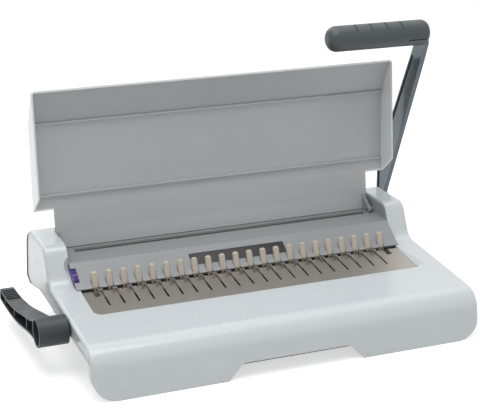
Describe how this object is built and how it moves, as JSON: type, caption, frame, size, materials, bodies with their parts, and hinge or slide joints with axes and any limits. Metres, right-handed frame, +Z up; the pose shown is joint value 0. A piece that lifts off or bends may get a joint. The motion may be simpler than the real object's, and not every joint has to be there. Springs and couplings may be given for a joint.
{
  "type": "comb binding machine",
  "caption": "Desktop comb binding machine with hinged lid, punching handle on the right, comb-opening lever on the left, slotted comb plate and a row of fingers",
  "frame": {"origin": "middle of the machine's footprint box, on the table under the feet", "axes": "+X along the comb to the right, +Y to the rear, +Z up; the lid stands open and both levers are at rest"},
  "size_m": [0.426, 0.2324, 0.2826],
  "materials": {
    "case_white": "gloss",
    "rear_grey": "fine texture",
    "panel_grey": "fine texture",
    "window_black": "gloss",
    "finger_ivory": "satin",
    "plate_steel": "brushed",
    "screw_steel": "turned",
    "lever_grey": "fine texture",
    "grip_grey": "fine texture",
    "arm_steel": "brushed",
    "tray_grey": "fine texture",
    "foot_rubber": "matt",
    "wheel_purple": "satin"
  },
  "bodies": {
    "base": {"upper_casing": "case_white", "rear_cover": "rear_grey", "side_cap": "case_white", "comb_plate": "plate_steel", "guide_panel": "panel_grey", "panel_window": "window_black", "comb_fingers": "finger_ivory", "shaft_brackets": "plate_steel", "lever_bush": "lever_grey", "punch_frame": "plate_steel", "die_plate": "plate_steel", "punch_guide": "plate_steel", "throat_stop": "plate_steel", "handle_bush": "lever_grey", "base_tray": "tray_grey", "casing_screws": "screw_steel", "rubber_feet": "foot_rubber"},
    "lid": {"lid_shell": "case_white", "lid_liner": "panel_grey", "hinge_ears": "panel_grey", "hinge_pins": "screw_steel"},
    "handle": {"handle_arm": "arm_steel", "grip_rod": "screw_steel", "shaft_ring": "screw_steel", "grip_upper": "grip_grey", "grip_lower": "grip_grey", "handle_shaft": "screw_steel", "punch_pinions": "screw_steel"},
    "punch_unit": {"punch_bar": "plate_steel", "punches": "plate_steel", "punch_racks": "screw_steel"},
    "lever": {"comb_lever": "lever_grey", "lever_shaft": "screw_steel", "lever_screw": "screw_steel", "lever_crank": "plate_steel"},
    "link": {"tie_rod": "plate_steel"},
    "cross": {"cross_crank": "plate_steel", "cross_shaft": "screw_steel", "cross_pinions": "screw_steel"},
    "slider": {"hook_bar": "plate_steel", "comb_hooks": "screw_steel", "slider_racks": "plate_steel"},
    "wheel": {"thumb_wheel": "wheel_purple", "lead_screw": "screw_steel"},
    "guide": {"edge_guide": "lever_grey"},
    "drawer": {"chip_drawer": "tray_grey"}
  },
  "joints": [
    {"name": "lid_hinge", "type": "hinge", "parent": "base", "child": "lid", "pos_m": [0.007, 0.0666, 0.079], "axis": [1, 0, 0], "range_deg": [0, 101.5]},
    {"name": "handle_swing", "type": "hinge", "parent": "base", "child": "handle", "pos_m": [0.007, 0.0956, 0.058], "axis": [1, 0, 0], "range_deg": [0, 68.75], "stiffness_Nm_per_rad": 0.25, "springref_deg": -57.3},
    {"name": "punch_slide", "type": "slide", "parent": "base", "child": "punch_unit", "axis": [0, -1, 0], "range_m": [0, 0.012]},
    {"name": "lever_swing", "type": "hinge", "parent": "base", "child": "lever", "pos_m": [0.007, -0.0374, 0.041], "axis": [1, 0, 0], "range_deg": [0, 117]},
    {"name": "tie_rod_turn", "type": "hinge", "parent": "lever", "child": "link", "pos_m": [0.007, -0.04732, 0.03973], "axis": [1, 0, 0], "range_deg": [-117, 0]},
    {"name": "cross_shaft_turn", "type": "hinge", "parent": "base", "child": "cross", "pos_m": [0.007, -0.01935, 0.03292], "axis": [1, 0, 0], "range_deg": [0, 117]},
    {"name": "hook_slide", "type": "slide", "parent": "base", "child": "slider", "axis": [0, -0.9878, -0.1556], "range_m": [0, 0.02451]},
    {"name": "wheel_turn", "type": "hinge", "parent": "base", "child": "wheel", "pos_m": [0.007, 0.0268, 0.05973], "axis": [1, 0, 0], "range_deg": [0, 360]},
    {"name": "guide_slide", "type": "slide", "parent": "base", "child": "guide", "axis": [1, 0, 0], "range_m": [0, 0.005]},
    {"name": "drawer_slide", "type": "slide", "parent": "base", "child": "drawer", "axis": [0, 1, 0], "range_m": [0, 0.06]}
  ],
  "couplings": [
    {"joint": "punch_slide", "follows": "handle_swing", "m_per_rad": 0.01},
    {"joint": "tie_rod_turn", "follows": "lever_swing", "ratio": -1},
    {"joint": "cross_shaft_turn", "follows": "lever_swing", "ratio": 1},
    {"joint": "hook_slide", "follows": "lever_swing", "m_per_rad": 0.012},
    {"joint": "wheel_turn", "follows": "guide_slide", "rad_per_m": 1256.6}
  ]
}
